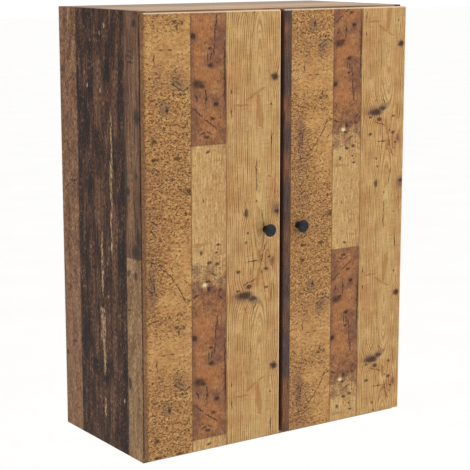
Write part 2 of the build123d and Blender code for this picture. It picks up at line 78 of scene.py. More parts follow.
# Dark lines between planks, as the distances where they have faded out and where they are full
DOOR_JOINT = (0.0022, 0.0004)
CUT_JOINT = (0.0018, 0.0004)
SIDE_JOINT = (0.0026, 0.0005)
TOP_JOINT = (0.0022, 0.0005)

# Distances from a door's front, top and right side for the painted shade that darkens its edges and the
# painted highlight on its top and right rounds
PAINTED_EDGE_SHADE = (0.0010, 0.0040)
ROUND_DEPTH = (0.0050, 0.0030)
CROWN_BAND = (0.0030, 0.0012)
RIM_BAND = (0.0036, 0.0020)

# Gloss of the printed boards, and relief as (depth, strength)
BOARD_GLOSS = {"Specular IOR Level": 0.12}
DOOR_RELIEF = (0.0004, 0.35)
CARCASS_RELIEF = (0.0003, 0.3)
PLAIN_RELIEF = (0.0002, 0.3)
KNOB_RELIEF = (0.00006, 0.5)
METAL_RELIEF = (0.00004, 0.3)
PLASTIC_RELIEF = (0.00005, 0.3)


def srgb(red, green, blue, alpha=1.0):
    """A shader colour from 8-bit display values."""
    def linear(value):
        value /= 255
        return value / 12.92 if value <= 0.04045 else ((value + 0.055) / 1.055) ** 2.4
    return (linear(red), linear(green), linear(blue), alpha)


class Graph:
    """Adds shader nodes to one tree and returns their sockets."""

    def __init__(self, tree):
        self.tree = tree

    def node(self, kind, inputs=(), **settings):
        made = self.tree.nodes.new(kind)
        for name, value in settings.items():
            setattr(made, name, value)
        for key, value in dict(inputs).items():
            self.put(made.inputs[key], value)
        return made

    def put(self, socket, value):
        if isinstance(value, bpy.types.NodeSocket):
            self.tree.links.new(value, socket)
        else:
            socket.default_value = value

    def math(self, operation, a, b=0.0, c=0.0, clamp=False):
        made = self.node("ShaderNodeMath", {0: a, 1: b, 2: c}, operation=operation, use_clamp=clamp)
        return made.outputs[0]

    def add(self, a, b):
        return self.math("ADD", a, b)

    def sub(self, a, b):
        return self.math("SUBTRACT", a, b)

    def mul(self, a, b):
        return self.math("MULTIPLY", a, b)

    def maximum(self, a, b):
        return self.math("MAXIMUM", a, b)

    def vector(self, operation, a, b):
        made = self.node("ShaderNodeVectorMath", {0: a, 1: b}, operation=operation)
        return made.outputs["Value" if operation == "LENGTH" else "Vector"]

    def combine(self, x, y, z=0.0):
        return self.node("ShaderNodeCombineXYZ", {0: x, 1: y, 2: z}).outputs[0]

    def step(self, value, low, high):
        """0 below low and 1 above high, smoothly; high below low turns it round."""
        inputs = {"Value": value, "From Min": low, "From Max": high}
        made = self.node("ShaderNodeMapRange", inputs, interpolation_type="SMOOTHSTEP")
        return made.outputs["Result"]

    def noise(self, vector, scale=1.0, detail=2.0, roughness=0.5, distortion=0.0):
        inputs = {"Vector": vector, "Scale": scale, "Detail": detail, "Roughness": roughness}
        inputs["Distortion"] = distortion
        return self.node("ShaderNodeTexNoise", inputs).outputs["Fac"]

    def mix(self, factor, a, b, blend="MIX"):
        made = self.node("ShaderNodeMix", data_type="RGBA", blend_type=blend)
        self.put(made.inputs["Factor"], factor)
        self.put(made.inputs[6], a)
        self.put(made.inputs[7], b)
        return made.outputs[2]

    def ramp(self, value, stops):
        """A colour ramp; stops are (place, colour)."""
        made = self.node("ShaderNodeValToRGB", {"Fac": value})
        while len(made.color_ramp.elements) < len(stops):
            made.color_ramp.elements.new(0.5)
        for element, (place, colour) in zip(made.color_ramp.elements, stops):
            element.position = place
            element.color = colour
        return made.outputs["Color"]

    def tones(self, value, *stops):
        """A ramp between display colours; each stop is (place, red, green, blue)."""
        return self.ramp(value, [(stop[0], srgb(*stop[1:])) for stop in stops])

    def near(self, value, centre, outer, inner):
        """1 within inner of the centre, fading to 0 at outer."""
        return self.step(self.math("ABSOLUTE", self.sub(value, centre)), outer, inner)


def new_material(name, roughness=0.5, **shader):
    """A material with a graph and a Principled shader; constant values go on the shader's own sockets."""
    material = bpy.data.materials.new(name)
    material.use_nodes = True
    graph = Graph(material.node_tree)
    principled = material.node_tree.nodes["Principled BSDF"]
    principled.inputs["Roughness"].default_value = roughness
    for key, value in shader.items():
        principled.inputs[key].default_value = value
    return material, graph, principled


def finish_material(graph, principled, colour, roughness=None, height=None, distance=0.0003, strength=0.4):
    """Links the colour, and the roughness and bump if given."""
    graph.put(principled.inputs["Base Color"], colour)
    if roughness is not None:
        graph.put(principled.inputs["Roughness"], roughness)
    if height is not None:
        inputs = {"Height": height, "Distance": distance, "Strength": strength}
        bump = graph.node("ShaderNodeBump", inputs)
        graph.put(principled.inputs["Normal"], bump.outputs["Normal"])


def object_position(graph):
    """The piece's own coordinates, which are metres in the frame and move with its body."""
    place = graph.node("ShaderNodeTexCoord").outputs["Object"]
    parts = graph.node("ShaderNodeSeparateXYZ", {0: place}).outputs
    return parts["X"], parts["Y"], parts["Z"]


def streaks(graph, across, along, fine, length, seed, detail=3.0, roughness=0.55):
    """Fibres: noise drawn out along the grain."""
    place = graph.combine(graph.mul(across, fine), graph.mul(along, length), seed)
    return graph.noise(place, 1.0, detail, roughness)


def spot(graph, place, centre, radii, soft=0.5):
    """An elliptical mark: 1 inside, fading out at its edge."""
    offset = graph.vector("SUBTRACT", place, (centre[0], centre[1], 0.0))
    scaled = graph.vector("MULTIPLY", offset, (1 / radii[0], 1 / radii[1], 0.0))
    return graph.step(graph.vector("LENGTH", scaled, (0, 0, 0)), 1.0 + soft, 1.0 - soft)


def line(graph, place, start, end, width):
    """A thin crack between two points, tapering to nothing at both ends."""
    run = Vector((end[0] - start[0], end[1] - start[1]))
    length = run.length
    direction = run / length
    middle = ((start[0] + end[0]) / 2, (start[1] + end[1]) / 2, 0.0)
    offset = graph.vector("SUBTRACT", place, middle)
    turned = graph.node("ShaderNodeVectorRotate", {"Vector": offset}, rotation_type="Z_AXIS")
    turned.inputs["Angle"].default_value = -math.atan2(direction.y, direction.x)
    scaled = graph.vector("MULTIPLY", turned.outputs[0], (2 / length, 2 / width, 0.0))
    return graph.step(graph.vector("LENGTH", scaled, (0, 0, 0)), 1.1, 0.55)


def marks(graph, place, spots, soft):
    """Several spots joined into one mask; each is (across, along, half width, half length)."""
    mask = 0.0
    for across, along, half_width, half_length in spots:
        mask = graph.maximum(mask, spot(graph, place, (across, along), (half_width, half_length), soft))
    return mask


# Marks on the print, as (across the planks, along the grain, half width, half length)
DOTTED_BARE = [
    (0.045, 0.225, 0.065, 0.036), (0.088, 0.390, 0.026, 0.062), (0.096, 0.235, 0.014, 0.09),
    (0.06, 0.33, 0.03, 0.02),
]
DOTTED_ROUGH = [
    (0.045, 0.540, 0.075, 0.075), (0.008, 0.400, 0.022, 0.120), (0.045, 0.085, 0.070, 0.055),
]
DOTTED_PURPLE = [
    (0.006, 0.36, 0.022, 0.05), (0.010, 0.44, 0.020, 0.030), (0.008, 0.505, 0.024, 0.030),
    (0.014, 0.575, 0.026, 0.022), (0.076, 0.176, 0.020, 0.012), (0.028, 0.170, 0.008, 0.030),
    (0.012, 0.068, 0.012, 0.012),
]
DOTTED_SMUDGES = [
    (0.072, 0.160, 0.014, 0.007), (0.084, 0.148, 0.018, 0.006), (0.045, 0.112, 0.012, 0.012),
    (0.012, 0.360, 0.006, 0.04),
]
DOTTED_HOLES = [
    (0.0195, 0.049, 0.0062, 0.0050), (0.069, 0.047, 0.0056, 0.0024), (0.021, 0.013, 0.0085, 0.0034),
    (0.072, 0.013, 0.0080, 0.0036), (0.098, 0.548, 0.0058, 0.0056), (0.068, 0.277, 0.0060, 0.0028),
    (0.073, 0.266, 0.0030, 0.0060), (0.085, 0.274, 0.0036, 0.0042), (0.052, 0.299, 0.0024, 0.0030),
    (0.050, 0.108, 0.0034, 0.0060), (0.016, 0.127, 0.0060, 0.0024), (0.090, 0.480, 0.0020, 0.0016),
    (0.057, 0.223, 0.0060, 0.0016), (0.030, 0.259, 0.0016, 0.0016),
]
DOTTED_CRACKS = [
    ((0.000, 0.417), (0.026, 0.408)), ((0.024, 0.409), (0.046, 0.400)),
    ((0.034, 0.399), (0.050, 0.388)), ((0.048, 0.390), (0.066, 0.368)),
    ((0.064, 0.371), (0.082, 0.341)), ((0.080, 0.343), (0.092, 0.322)),
    ((0.060, 0.161), (0.074, 0.147)), ((0.071, 0.149), (0.088, 0.143)),
    ((0.085, 0.143), (0.102, 0.149)), ((0.066, 0.164), (0.084, 0.154)),
    ((0.008, 0.517), (0.010, 0.497)), ((0.009, 0.500), (0.027, 0.484)),
    ((0.008, 0.480), (0.024, 0.462)), ((0.004, 0.400), (0.014, 0.368)),
    ((0.012, 0.376), (0.024, 0.340)), ((0.002, 0.366), (0.018, 0.346)),
    ((0.000, 0.292), (0.034, 0.298)), ((0.074, 0.556), (0.100, 0.538)),
    ((0.070, 0.559), (0.084, 0.550)), ((0.015, 0.602), (0.034, 0.590)),
    ((0.021, 0.222), (0.022, 0.190)),
]
MIDDLE_ORANGE = [
    (0.132, 0.262, 0.020, 0.030), (0.120, 0.210, 0.010, 0.04), (0.135, 0.165, 0.03, 0.02),
    (0.150, 0.080, 0.02, 0.02),
]
MIDDLE_PURPLE = [
    (0.173, 0.235, 0.013, 0.036), (0.108, 0.093, 0.012, 0.016), (0.107, 0.060, 0.010, 0.024),
    (0.184, 0.12, 0.005, 0.09), (0.108, 0.240, 0.012, 0.012), (0.117, 0.135, 0.012, 0.014),
    (0.163, 0.119, 0.011, 0.011), (0.177, 0.333, 0.014, 0.012), (0.113, 0.348, 0.014, 0.010),
    (0.173, 0.358, 0.010, 0.008), (0.148, 0.378, 0.012, 0.010), (0.115, 0.385, 0.010, 0.014),
    (0.160, 0.205, 0.014, 0.016), (0.104, 0.19, 0.008, 0.05), (0.183, 0.045, 0.006, 0.02),
    (0.150, 0.343, 0.012, 0.01),
]
MIDDLE_SMUDGES = [
    (0.126, 0.4385, 0.022, 0.0022), (0.115, 0.434, 0.016, 0.0012), (0.168, 0.607, 0.024, 0.0016),
    (0.172, 0.001, 0.018, 0.0014),
]
MIDDLE_HOLES = [
    (0.121, 0.155, 0.0140, 0.0088), (0.130, 0.150, 0.0090, 0.0040), (0.108, 0.247, 0.0078, 0.0055),
    (0.149, 0.223, 0.0050, 0.0028), (0.150, 0.190, 0.0070, 0.0038), (0.141, 0.050, 0.0070, 0.0030),
    (0.144, 0.0195, 0.0052, 0.0026), (0.147, 0.399, 0.0066, 0.0036), (0.164, 0.394, 0.0048, 0.0040),
    (0.127, 0.421, 0.0032, 0.0048), (0.168, 0.4335, 0.0054, 0.0018), (0.163, 0.4195, 0.0026, 0.0020),
    (0.1425, 0.3605, 0.0060, 0.0028), (0.155, 0.085, 0.0060, 0.0034), (0.1325, 0.526, 0.0016, 0.0042),
    (0.144, 0.346, 0.0040, 0.0050), (0.104, 0.391, 0.0034, 0.0020), (0.163, 0.113, 0.0060, 0.0040),
]
MIDDLE_CRACKS = [
    ((0.1665, 0.292), (0.1625, 0.262)), ((0.163, 0.268), (0.159, 0.232)),
    ((0.1595, 0.238), (0.158, 0.205)), ((0.104, 0.112), (0.134, 0.088)),
    ((0.130, 0.091), (0.168, 0.061)), ((0.144, 0.218), (0.143, 0.194)),
    ((0.154, 0.218), (0.149, 0.194)), ((0.136, 0.146), (0.141, 0.128)),
    ((0.140, 0.132), (0.139, 0.110)), ((0.145, 0.379), (0.166, 0.369)),
    ((0.124, 0.054), (0.140, 0.060)), ((0.138, 0.060), (0.156, 0.053)),
    ((0.112, 0.134), (0.122, 0.120)), ((0.166, 0.330), (0.180, 0.322)),
    ((0.166, 0.332), (0.176, 0.344)), ((0.182, 0.270), (0.186, 0.080)),
    ((0.147, 0.093), (0.160, 0.080)), ((0.104, 0.330), (0.126, 0.338)),
]
PINE_RED = [
    (0.210, 0.160, 0.014, 0.035), (0.190, 0.545, 0.010, 0.070), (0.303, 0.535, 0.010, 0.034),
    (0.290, 0.390, 0.020, 0.026), (0.192, 0.315, 0.012, 0.008), (0.296, 0.318, 0.004, 0.018),
    (0.250, 0.345, 0.030, 0.010),
]
PINE_GREEN = [
    (0.268, 0.275, 0.018, 0.030), (0.268, 0.170, 0.014, 0.020), (0.280, 0.085, 0.014, 0.050),
    (0.276, 0.520, 0.014, 0.040), (0.262, 0.030, 0.020, 0.024), (0.194, 0.250, 0.006, 0.050),
]
PINE_LENS = [
    (0.265, 0.112, 0.0058, 0.016), (0.267, 0.096, 0.0080, 0.018), (0.271, 0.078, 0.0070, 0.016),
]
PINE_PURPLE = [
    (0.3125, 0.493, 0.014, 0.012), (0.228, 0.318, 0.024, 0.011), (0.258, 0.306, 0.012, 0.008),
    (0.301, 0.385, 0.007, 0.008), (0.306, 0.161, 0.0080, 0.0085),
]
PINE_HOLES = [
    (0.306, 0.161, 0.0062, 0.0065), (0.299, 0.164, 0.0030, 0.0026), (0.236, 0.490, 0.0050, 0.0085),
    (0.216, 0.371, 0.0048, 0.0034), (0.286, 0.3705, 0.0054, 0.0042), (0.286, 0.331, 0.0050, 0.0030),
    (0.216, 0.3315, 0.0054, 0.0022), (0.231, 0.320, 0.0185, 0.0072), (0.243, 0.336, 0.0070, 0.0040),
    (0.261, 0.5135, 0.0026, 0.0024), (0.2395, 0.4490, 0.0022, 0.0020), (0.236, 0.430, 0.0030, 0.0024),
    (0.293, 0.395, 0.0036, 0.0030), (0.290, 0.409, 0.0022, 0.0022), (0.275, 0.365, 0.0022, 0.0026),
    (0.313, 0.487, 0.0070, 0.0050), (0.2925, 0.562, 0.0040, 0.0014), (0.252, 0.312, 0.0090, 0.0050),
    (0.2965, 0.107, 0.0020, 0.0020),
]
PINE_CRACKS = [
    ((0.200, 0.103), (0.2005, 0.079)), ((0.200, 0.141), (0.200, 0.130)),
    ((0.2995, 0.052), (0.2975, 0.018)), ((0.2605, 0.602), (0.2600, 0.560)),
    ((0.2600, 0.572), (0.2620, 0.530)), ((0.2735, 0.497), (0.2775, 0.470)),
    ((0.2765, 0.476), (0.2810, 0.452)), ((0.2860, 0.427), (0.2770, 0.404)),
    ((0.2785, 0.408), (0.2700, 0.372)), ((0.2280, 0.340), (0.2460, 0.348)),
    ((0.2440, 0.346), (0.2640, 0.354)), ((0.2340, 0.388), (0.2700, 0.390)),
    ((0.2600, 0.300), (0.2540, 0.285)),
]
PINE_RAYS = [
    ((0.233, 0.115), (0.264, 0.133)), ((0.262, 0.132), (0.286, 0.142)),
    ((0.262, 0.068), (0.279, 0.058)), ((0.250, 0.106), (0.200, 0.109)),
    ((0.2525, 0.302), (0.2565, 0.268)), ((0.2570, 0.276), (0.2470, 0.230)),
    ((0.2480, 0.238), (0.2440, 0.150)), ((0.2460, 0.380), (0.2480, 0.355)),
    ((0.2280, 0.300), (0.2400, 0.275)), ((0.300, 0.380), (0.305, 0.400)),
    ((0.301, 0.345), (0.297, 0.300)), ((0.306, 0.565), (0.308, 0.500)),
]
PINE_WORM = [(0.290, 0.388, 0.026, 0.034), (0.240, 0.345, 0.026, 0.022)]

# Humps that bend the pine's grain round its knots, as (centre, radii, height)
PINE_KNOTS = [
    ((0.306, 0.162), (0.014, 0.024), 0.008), ((0.236, 0.490), (0.012, 0.022), 0.007),
    ((0.230, 0.318), (0.030, 0.028), 0.014), ((0.313, 0.490), (0.018, 0.030), 0.010),
]
PINE_AXIS = (0.268, 0.080)
PINE_RING = math.tau / 1340.0
CRACK_WIDTHS = {"dotted": 0.0032, "middle": 0.0034, "pine": 0.0034, "ray": 0.0040, "side": 0.0040}


def warped(graph, place, scale, amount):
    """The same place, pushed about a little by noise, so that drawn marks get ragged edges."""
    inputs = {"Vector": place, "Scale": scale, "Detail": 2.0}
    shake = graph.node("ShaderNodeTexNoise", inputs).outputs["Color"]
    push = graph.vector("SUBTRACT", shake, (0.5, 0.5, 0.5))
    return graph.vector("ADD", place, graph.vector("MULTIPLY", push, (amount, amount, 0.0)))


def specks(graph, place, scale, level, sharp=0.03):
    """Fine specks where a noise falls below a level, which can vary over the board."""
    value = graph.noise(place, scale, 2.5, 0.6)
    return graph.step(graph.sub(level, value), -sharp, sharp)


def scribbles(graph, place, scale, level, width=0.02):
    """Thin curly lines, broken up, like worm tracks."""
    value = graph.noise(place, scale, 1.0, 0.5, 0.6)
    thin = graph.step(graph.math("ABSOLUTE", graph.sub(value, 0.5)), width, width * 0.3)
    keep = graph.step(graph.sub(level, graph.noise(place, scale * 0.6, 1.0)), -0.03, 0.03)
    return graph.mul(thin, keep)


def cracks(graph, place, runs, width):
    """Several thin cracks joined into one mask."""
    mask = 0.0
    for start, end in runs:
        mask = graph.maximum(mask, line(graph, place, start, end, width))
    return mask


def tint(graph, colour, mask, amount, shade):
    """Paints a display colour over another where the mask allows it."""
    return graph.mix(graph.mul(mask, amount), colour, srgb(*shade))


def dotted_plank(graph, across, along, place, repeat_along):
    """Worm-eaten tan board: fine dark specks and short scribbles, thicker in some places."""
    rough = marks(graph, place, DOTTED_ROUGH, 0.9)
    bare = marks(graph, place, DOTTED_BARE, 0.9)
    purple = marks(graph, warped(graph, place, 60.0, 0.02), DOTTED_PURPLE, 0.9)
    broad = graph.noise(place, 34.0, 4.0, 0.6)
    mottle = graph.noise(graph.vector("MULTIPLY", place, (0.7, 1.2, 1.0)), 120.0, 3.0, 0.6)
    ground = graph.tones(broad, (0.3, 172, 124, 75), (0.5, 192, 146, 91), (0.7, 205, 163, 104))
    ground = tint(graph, ground, rough, 0.3, (206, 156, 100))
    ground = tint(graph, ground, graph.step(mottle, 0.48, 0.36), 0.55, (142, 94, 54))
    ground = tint(graph, ground, graph.step(mottle, 0.54, 0.66), 0.5, (214, 172, 112))
    level = graph.add(0.462, graph.sub(graph.mul(rough, 0.014), graph.mul(bare, 0.085)))
    level = graph.add(level, graph.mul(graph.sub(broad, 0.5), 0.13))
    squashed = graph.vector("MULTIPLY", place, (0.75, 1.25, 1.0))
    brown = specks(graph, squashed, 190.0, graph.add(level, 0.02), 0.035)
    colour = tint(graph, ground, brown, 0.5, (128, 82, 44))
    elsewhere = graph.vector("ADD", squashed, (0.37, 0.11, 0.0))
    dark = specks(graph, elsewhere, 250.0, graph.sub(level, 0.03), 0.02)
    colour = tint(graph, colour, dark, 0.82, (74, 45, 25))
    curls = scribbles(graph, squashed, 112.0, graph.add(level, 0.060), 0.032)
    colour = tint(graph, colour, curls, 0.72, (84, 53, 32))
    colour = tint(graph, colour, purple, 0.24, (108, 66, 64))
    smudge = marks(graph, place, DOTTED_SMUDGES, 0.8)
    colour = tint(graph, colour, smudge, 0.45, (92, 76, 74))
    pits = marks(graph, place, DOTTED_HOLES, 0.5)
    dents = graph.maximum(pits, cracks(graph, place, DOTTED_CRACKS, CRACK_WIDTHS["dotted"]))
    colour = tint(graph, colour, dents, 0.76, (50, 32, 26))
    return colour, graph.maximum(dark, graph.mul(brown, 0.5))


def middle_plank(graph, across, along, place, repeat_along):
    """Reddish worn board that meets a pale one at a clean cut and fades into it further on."""
    broad = graph.noise(place, 45.0, 4.0, 0.65)
    fine = graph.noise(graph.vector("MULTIPLY", place, (1.0, 0.55, 1.0)), 260.0, 3.0, 0.65)
    fibre = streaks(graph, across, along, 700, 24, 7.0)
    red = graph.tones(broad, (0.32, 116, 74, 52), (0.5, 150, 103, 68), (0.68, 176, 126, 82))
    red = tint(graph, red, marks(graph, place, MIDDLE_ORANGE, 0.9), 0.5, (188, 122, 70))
    red = tint(graph, red, graph.step(fine, 0.47, 0.36), 0.6, (104, 66, 48))
    red = tint(graph, red, graph.step(fine, 0.54, 0.66), 0.5, (194, 150, 104))
    red = tint(graph, red, graph.step(fibre, 0.5, 0.68), 0.35, (110, 70, 50))
    pale = graph.tones(broad, (0.3, 180, 138, 88), (0.6, 196, 158, 104))
    pale = tint(graph, pale, graph.step(across, 0.150, 0.125), 0.5, (204, 170, 112))
    pale = tint(graph, pale, graph.step(fibre, 0.46, 0.60), 0.65, (160, 114, 66))
    pale = tint(graph, pale, graph.step(fibre, 0.46, 0.34), 0.75, (226, 194, 142))
    pale = tint(graph, pale, graph.step(fine, 0.47, 0.36), 0.55, (150, 104, 62))
    pale = tint(graph, pale, graph.step(fine, 0.54, 0.66), 0.4, (226, 196, 146))
    above_cut = graph.step(repeat_along, PLANK_CUT - 0.0008, PLANK_CUT + 0.0008)
    ragged = graph.add(repeat_along, graph.mul(graph.sub(broad, 0.5), 0.12))
    worn = graph.step(ragged, 0.440, 0.395)
    eaten = graph.mul(worn, graph.step(repeat_along, 0.290, 0.305))
    solid = graph.mul(above_cut, graph.step(ragged, 0.372, 0.335))
    colour = graph.mix(solid, pale, red)
    level = graph.add(graph.mul(eaten, 0.085), graph.mul(graph.mul(above_cut, worn), 0.355))
    holes = specks(graph, graph.vector("MULTIPLY", place, (0.8, 1.1, 1.0)), 230.0, level, 0.03)
    colour = tint(graph, colour, holes, 0.6, (112, 70, 44))
    curls = scribbles(graph, place, 105.0, graph.add(level, 0.03), 0.03)
    colour = tint(graph, colour, curls, 0.6, (84, 52, 40))
    purple = marks(graph, warped(graph, place, 70.0, 0.016), MIDDLE_PURPLE, 0.85)
    colour = tint(graph, colour, purple, 0.5, (100, 64, 60))
    colour = tint(graph, colour, marks(graph, place, MIDDLE_SMUDGES, 0.6), 0.5, (140, 88, 58))
    chip = spot(graph, place, (0.135, 0.3545), (0.0062, 0.0036), 0.4)
    colour = tint(graph, colour, chip, 0.8, (232, 214, 172))
    seam = graph.near(repeat_along, PLANK_CUT, *CUT_JOINT)
    colour = tint(graph, colour, seam, 0.5, (110, 70, 46))
    pits = marks(graph, place, MIDDLE_HOLES, 0.55)
    dents = graph.maximum(pits, cracks(graph, place, MIDDLE_CRACKS, CRACK_WIDTHS["middle"]))
    colour = tint(graph, colour, dents, 0.80, (40, 30, 32))
    return colour, graph.maximum(holes, curls)


def bulge(graph, place, centre, radii, height):
    """A soft hump that bends the grain round a knot."""
    offset = graph.vector("SUBTRACT", place, (centre[0], centre[1], 0.0))
    scaled = graph.vector("MULTIPLY", offset, (1 / radii[0], 1 / radii[1], 0.0))
    distance = graph.vector("LENGTH", scaled, (0, 0, 0))
    return graph.mul(graph.math("EXPONENT", graph.mul(graph.mul(distance, distance), -1.0)), height)


def pine_plank(graph, across, along, place, repeat_along):
    """Golden softwood: rings in long ovals, with fine lines on the left and wide figure on the right."""
    broad = graph.noise(place, 22.0, 4.0, 0.6)
    slow = graph.noise(graph.combine(graph.mul(across, 14), graph.mul(along, 5.0), 5.0))
    bend = graph.mul(graph.sub(slow, 0.5), 0.012)
    shifted = graph.add(graph.sub(across, PINE_AXIS[0]), bend)
    half = PRINT_REPEAT / 2
    taper = graph.math("ABSOLUTE", graph.math("WRAP", graph.sub(repeat_along, PINE_AXIS[1]), half, -half))
    slant = graph.mul(graph.maximum(graph.sub(taper, 0.07), 0.0), 0.10)
    from_axis = graph.math("SQRT", graph.add(graph.mul(shifted, shifted), graph.mul(slant, slant)))
    ring = from_axis
    for centre, radii, height in PINE_KNOTS:
        ring = graph.add(ring, bulge(graph, place, centre, radii, height))
    jitter = graph.noise(graph.combine(graph.mul(ring, 130), graph.mul(along, 5.0), 9.0), 1.0, 2.0)
    wave = graph.math("SINE", graph.mul(graph.add(ring, graph.mul(jitter, 0.006)), math.tau / PINE_RING))
    patchy = graph.noise(graph.vector("MULTIPLY", place, (160.0, 30.0, 1.0)), 1.0, 3.0, 0.6)
    lines = graph.mul(graph.step(wave, -0.1, 0.9), graph.step(patchy, 0.30, 0.56))
    weight = graph.add(graph.mul(graph.step(from_axis, 0.014, 0.026), 0.45), 0.55)
    fibre = streaks(graph, ring, along, 900, 20, 11.0)
    crossing = graph.noise(graph.combine(graph.mul(across, 40), graph.mul(along, 320), 3.0), 1.0, 2.0)
    ground = graph.tones(broad, (0.3, 180, 139, 88), (0.5, 197, 158, 104), (0.7, 209, 172, 117))
    ground = tint(graph, ground, marks(graph, place, PINE_GREEN, 0.95), 0.7, (200, 171, 114))
    ground = tint(graph, ground, marks(graph, place, PINE_RED, 0.95), 0.5, (178, 120, 74))
    colour = tint(graph, ground, graph.mul(lines, weight), 0.95, (142, 96, 50))
    colour = tint(graph, colour, graph.step(fibre, 0.5, 0.66), 0.45, (150, 104, 58))
    colour = tint(graph, colour, graph.step(fibre, 0.46, 0.32), 0.45, (222, 188, 136))
    colour = tint(graph, colour, graph.step(crossing, 0.54, 0.68), 0.35, (154, 108, 64))
    lens = marks(graph, place, PINE_LENS, 0.35)
    colour = tint(graph, colour, lens, 0.6, (156, 100, 54))
    colour = tint(graph, colour, cracks(graph, place, PINE_RAYS, CRACK_WIDTHS["ray"]), 0.6, (140, 94, 48))
    purple = marks(graph, place, PINE_PURPLE, 0.6)
    colour = tint(graph, colour, purple, 0.62, (98, 66, 66))
    flecked = marks(graph, place, PINE_WORM, 0.9)
    worm = specks(graph, place, 190.0, graph.mul(flecked, 0.42), 0.03)
    colour = tint(graph, colour, worm, 0.7, (112, 66, 44))
    pits = marks(graph, place, PINE_HOLES, 0.55)
    dents = graph.maximum(pits, cracks(graph, place, PINE_CRACKS, CRACK_WIDTHS["pine"]))
    colour = tint(graph, colour, dents, 0.80, (46, 30, 26))
    return colour, graph.mul(graph.maximum(lines, fibre), 0.5)


def print_group(name, build):
    """One plank of the print as a node group, made once and used by both doors."""
    name = name + "_plank"
    if name in bpy.data.node_groups:
        return bpy.data.node_groups[name]
    tree = bpy.data.node_groups.new(name, "ShaderNodeTree")
    for socket, kind in (("Across", "Float"), ("Along", "Float"), ("Place", "Vector"), ("Repeat", "Float")):
        tree.interface.new_socket(socket, in_out="INPUT", socket_type="NodeSocket" + kind)
    tree.interface.new_socket("Colour", in_out="OUTPUT", socket_type="NodeSocketColor")
    tree.interface.new_socket("Relief", in_out="OUTPUT", socket_type="NodeSocketFloat")
    graph = Graph(tree)
    entry = graph.node("NodeGroupInput").outputs
    colour, relief = build(graph, entry["Across"], entry["Along"], entry["Place"], entry["Repeat"])
    graph.node("NodeGroupOutput", {"Colour": colour, "Relief": relief})
    return tree


def door_print(graph, across, along):
    """The doors' printed paper: planks side by side, with narrow dark joints between them."""
    repeat_along = graph.math("FLOORED_MODULO", along, PRINT_REPEAT)
    flat = graph.combine(across, repeat_along, 0.0)
    place = warped(graph, warped(graph, flat, 95.0, 0.0070), 320.0, 0.0036)
    edge = graph.add(across, graph.mul(graph.sub(graph.noise(flat, 60.0, 2.0), 0.5), 0.0014))
    colour, height = sliver_plank(graph, across, along)
    joint = 0.0
    for name, build in (("dotted", dotted_plank), ("middle", middle_plank), ("pine", pine_plank)):
        inputs = {"Across": across, "Along": along, "Place": place, "Repeat": repeat_along}
        plank = graph.node("ShaderNodeGroup", inputs, node_tree=print_group(name, build)).outputs
        plank_colour, plank_height = plank["Colour"], plank["Relief"]
        start = PLANK_EDGES[name]
        inside = graph.step(edge, start - 0.0004, start + 0.0004)
        colour = graph.mix(inside, colour, plank_colour)
        height = graph.node("ShaderNodeMix", {0: inside, 2: height, 3: plank_height}).outputs[0]
        joint = graph.maximum(joint, graph.near(edge, start, *DOOR_JOINT))
    colour = tint(graph, colour, joint, 0.55, (92, 62, 40))
    return colour, graph.sub(0.0, graph.maximum(height, joint))


def sliver_plank(graph, across, along):
    """The dark weathered board at the print's edge, with orange-brown stretches."""
    fibre = streaks(graph, across, along, 500, 30, 21.0, 4.0, 0.65)
    patch = graph.noise(graph.combine(graph.mul(across, 6), graph.mul(along, 7.5), 2.0), 1.0, 2.0)
    speck = graph.noise(graph.combine(across, along, 3.0), 420.0, 3.0, 0.7)
    grain = graph.add(graph.mul(fibre, 0.5), graph.mul(speck, 0.5))
    dark = graph.tones(grain, (0.36, 30, 26, 32), (0.52, 82, 66, 62), (0.66, 132, 104, 88))
    orange = graph.tones(grain, (0.36, 44, 28, 22), (0.52, 124, 84, 60), (0.66, 174, 126, 92))
    return graph.mix(graph.step(patch, 0.44, 0.64), dark, orange), grain


def make_door_material(side):
    """One door's printed board. Its print wraps round the edges, which carry painted shade, with a painted
    highlight on the top and right rounds.
    """
    material, graph, principled = new_material(f"{side}_door_print", 0.46, **BOARD_GLOSS)
    low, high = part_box(f"{side}_door_panel")
    x, y, z = object_position(graph)
    depth = graph.sub(y, DOOR_FRONT)
    wrap = graph.mul(graph.math("SIGN", graph.sub(x, (low.x + high.x) / 2)), depth)
    from_left = graph.add(graph.sub(x, LEFT_EDGE), wrap)
    height = graph.sub(z, BOTTOM)
    if side == "left":
        across, along = from_left, height
    else:
        shifted = graph.math("DIVIDE", graph.sub(from_left, RIGHT_PRINT_EDGE), RIGHT_PRINT_SCALE)
        across = graph.add(shifted, RIGHT_PRINT_PLACE)
        along = graph.math("DIVIDE", graph.sub(RIGHT_PRINT_TOP, height), RIGHT_PRINT_SCALE)
    colour, relief = door_print(graph, across, along)
    # Painted shade: the door's edges and back, behind its front, are darkened in the colour to stand in for
    # the shade they sit in
    colour = tint(graph, colour, graph.step(depth, *PAINTED_EDGE_SHADE), 0.5, (96, 54, 28))
    # Painted highlight: pale cream on the front of the top and right rounds, standing in for the light they
    # catch
    crown = graph.step(graph.sub(high.z, z), *CROWN_BAND)
    rim = graph.step(graph.sub(high.x, x), *RIM_BAND)
    painted_round_highlight = graph.mul(graph.maximum(crown, rim), graph.step(depth, *ROUND_DEPTH))
    colour = tint(graph, colour, painted_round_highlight, 0.64, (242, 220, 192))
    gloss = graph.add(0.42, graph.mul(graph.noise(graph.combine(x, y, z), 90.0, 3.0), 0.14))
    finish_material(graph, principled, colour, gloss, relief, *DOOR_RELIEF)
    return material


